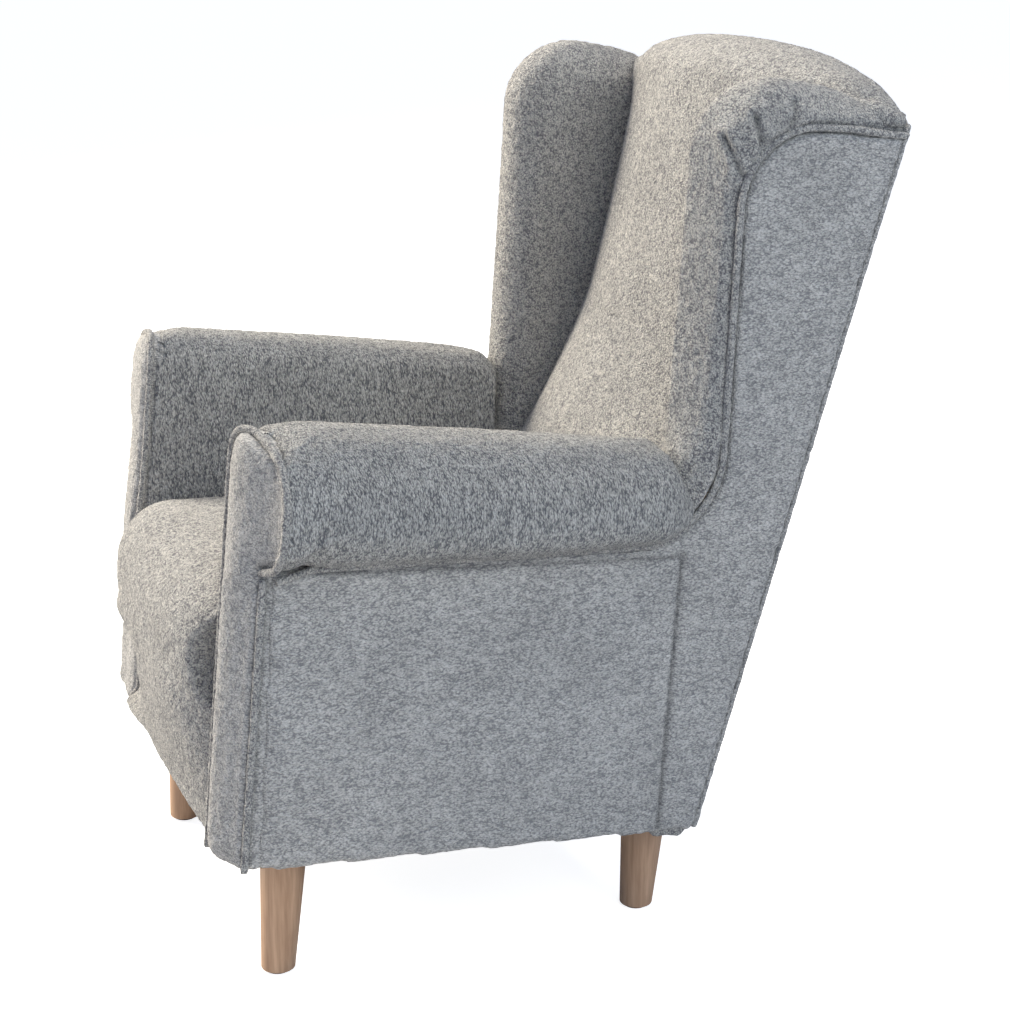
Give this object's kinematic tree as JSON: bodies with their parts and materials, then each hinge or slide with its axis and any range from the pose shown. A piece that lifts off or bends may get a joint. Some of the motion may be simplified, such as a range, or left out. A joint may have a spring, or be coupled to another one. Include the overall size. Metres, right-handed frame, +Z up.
{
  "type": "armchair",
  "caption": "Upholstered wing armchair with rolled arms, tight crowned seat and back, piped side panels and tapered timber legs.",
  "frame": {"origin": "centre of the chair's footprint, on the floor", "axes": "+Z up, -Y out of the front of the seat, +X to the sitter's left"},
  "size_m": [0.78, 0.8706, 1.0495],
  "materials": {
    "upholstery_fabric": "deep grey looped pile fabric",
    "beech_frame": "planed, unfinished",
    "plywood": "sawn edges",
    "leg_beech": "turned, clear lacquer",
    "spring_steel": "drawn wire",
    "zinc_steel": "zinc plated",
    "felt": "pressed felt",
    "foam": "open-cell foam",
    "webbing": "woven elastic webbing",
    "dust_cloth": "non-woven cloth",
    "glide": "matt"
  },
  "bodies": {
    "root": {"arm_board_left": "plywood", "arm_board_right": "plywood", "arm_cover_left": "upholstery_fabric", "arm_cover_right": "upholstery_fabric", "arm_facing_left": "upholstery_fabric", "arm_facing_right": "upholstery_fabric", "arm_foam_left": "foam", "arm_foam_right": "foam", "arm_front_welt_left": "upholstery_fabric", "arm_front_welt_right": "upholstery_fabric", "arm_rail_left": "beech_frame", "arm_rail_right": "beech_frame", "back_foam": "foam", "back_post_left": "beech_frame", "back_post_right": "beech_frame", "back_webbing": "webbing", "corner_blocks": "beech_frame", "dust_cover": "dust_cloth", "facing_pad_left": "foam", "facing_pad_right": "foam", "front_leg_left": "leg_beech", "front_leg_right": "leg_beech", "front_post_left": "beech_frame", "front_post_right": "beech_frame", "front_rail": "beech_frame", "inside_back_cover": "upholstery_fabric", "leg_bolts": "zinc_steel", "leg_glides": "glide", "leg_plates": "zinc_steel", "lumbar_rail": "beech_frame", "outer_wing_panel_left": "upholstery_fabric", "outer_wing_panel_right": "upholstery_fabric", "outside_back_panel": "upholstery_fabric", "rear_leg_left": "leg_beech", "rear_leg_right": "leg_beech", "rear_rail": "beech_frame", "seat_cover": "upholstery_fabric", "seat_foam": "foam", "seat_insulator": "felt", "seat_springs": "spring_steel", "side_front_welt_left": "upholstery_fabric", "side_front_welt_right": "upholstery_fabric", "side_padding_left": "felt", "side_padding_right": "felt", "side_panel_left": "upholstery_fabric", "side_panel_right": "upholstery_fabric", "side_rail_left": "beech_frame", "side_rail_right": "beech_frame", "spring_clips": "zinc_steel", "top_rail": "beech_frame", "wing_arm_welt_left": "upholstery_fabric", "wing_arm_welt_right": "upholstery_fabric", "wing_board_left": "plywood", "wing_board_right": "plywood", "wing_cover_left": "upholstery_fabric", "wing_cover_right": "upholstery_fabric", "wing_foam_left": "foam", "wing_foam_right": "foam"}
  },
  "joints": []
}
